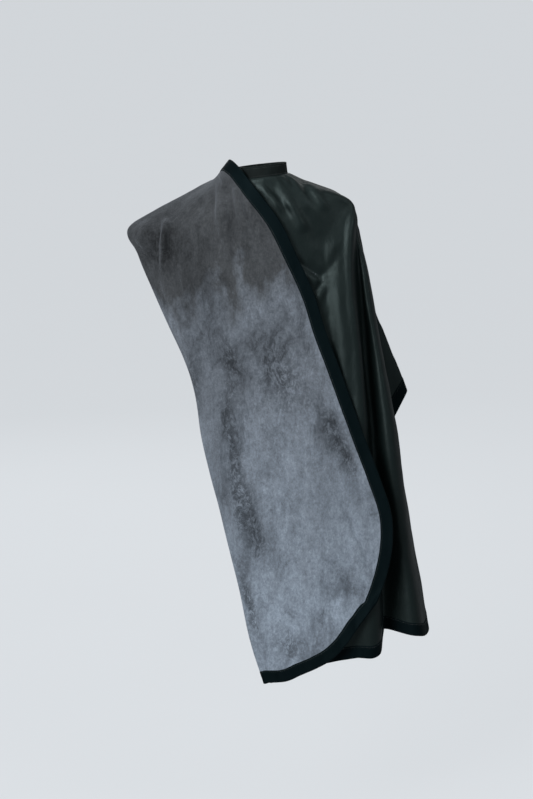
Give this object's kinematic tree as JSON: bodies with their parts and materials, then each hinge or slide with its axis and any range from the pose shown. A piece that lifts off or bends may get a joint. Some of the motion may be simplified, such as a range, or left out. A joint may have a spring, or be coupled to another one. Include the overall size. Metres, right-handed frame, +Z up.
{
  "type": "barber cape",
  "caption": "Back-closing barber cape with a plush lining, bound edges and a snap neckband, draped with one back panel turned over to the front.",
  "frame": {"origin": "centre of the neck opening, half way up the neckband", "axes": "+Z up, -Y towards the wearer's front, +X towards the wearer's left"},
  "size_m": [0.6746, 0.3698, 1.1333],
  "materials": {
    "shell_cloth": "satin",
    "plush": "short pile",
    "binding": "matte",
    "band_cloth": "satin",
    "interfacing": "matte",
    "snap_plastic": "gloss"
  },
  "bodies": {
    "cape_body": {"main_shell": "shell_cloth", "main_lining": "plush", "main_hem_binding": "binding", "back_opening_binding": "binding", "side_fold_shell": "shell_cloth", "side_fold_lining": "plush", "side_fold_binding": "binding", "neckband_outer": "band_cloth", "neckband_interfacing": "interfacing", "neckband_lining": "band_cloth", "snap_sockets": "snap_plastic", "snap_socket_posts": "snap_plastic"},
    "turned_panel": {"turned_panel_shell": "shell_cloth", "turned_panel_lining": "plush", "turned_panel_binding": "binding"},
    "left_back_panel": {"back_panel_shell": "shell_cloth", "back_panel_lining": "plush", "back_panel_binding": "binding"},
    "neckband_tab": {"tab_outer": "band_cloth", "tab_interfacing": "interfacing", "tab_lining": "band_cloth", "snap_studs": "snap_plastic", "snap_caps": "snap_plastic"}
  },
  "joints": [
    {"name": "turned_panel_fold", "type": "hinge", "parent": "cape_body", "child": "turned_panel", "pos_m": [-0.046, -0.104, 0.022], "axis": [0.074, -0.0758, -0.9944], "range_deg": [0, 120]},
    {"name": "back_panel_fold", "type": "hinge", "parent": "cape_body", "child": "left_back_panel", "pos_m": [0.01101, 0.07345, -0.10991], "axis": [0.3351, 0.17, -0.9267], "range_deg": [0, 100]},
    {"name": "neckband_tab_bend", "type": "hinge", "parent": "cape_body", "child": "neckband_tab", "pos_m": [0.00371, 0.06022, -0.0045], "axis": [0.1158, -0.0812, -0.9899], "range_deg": [0, 80]}
  ]
}
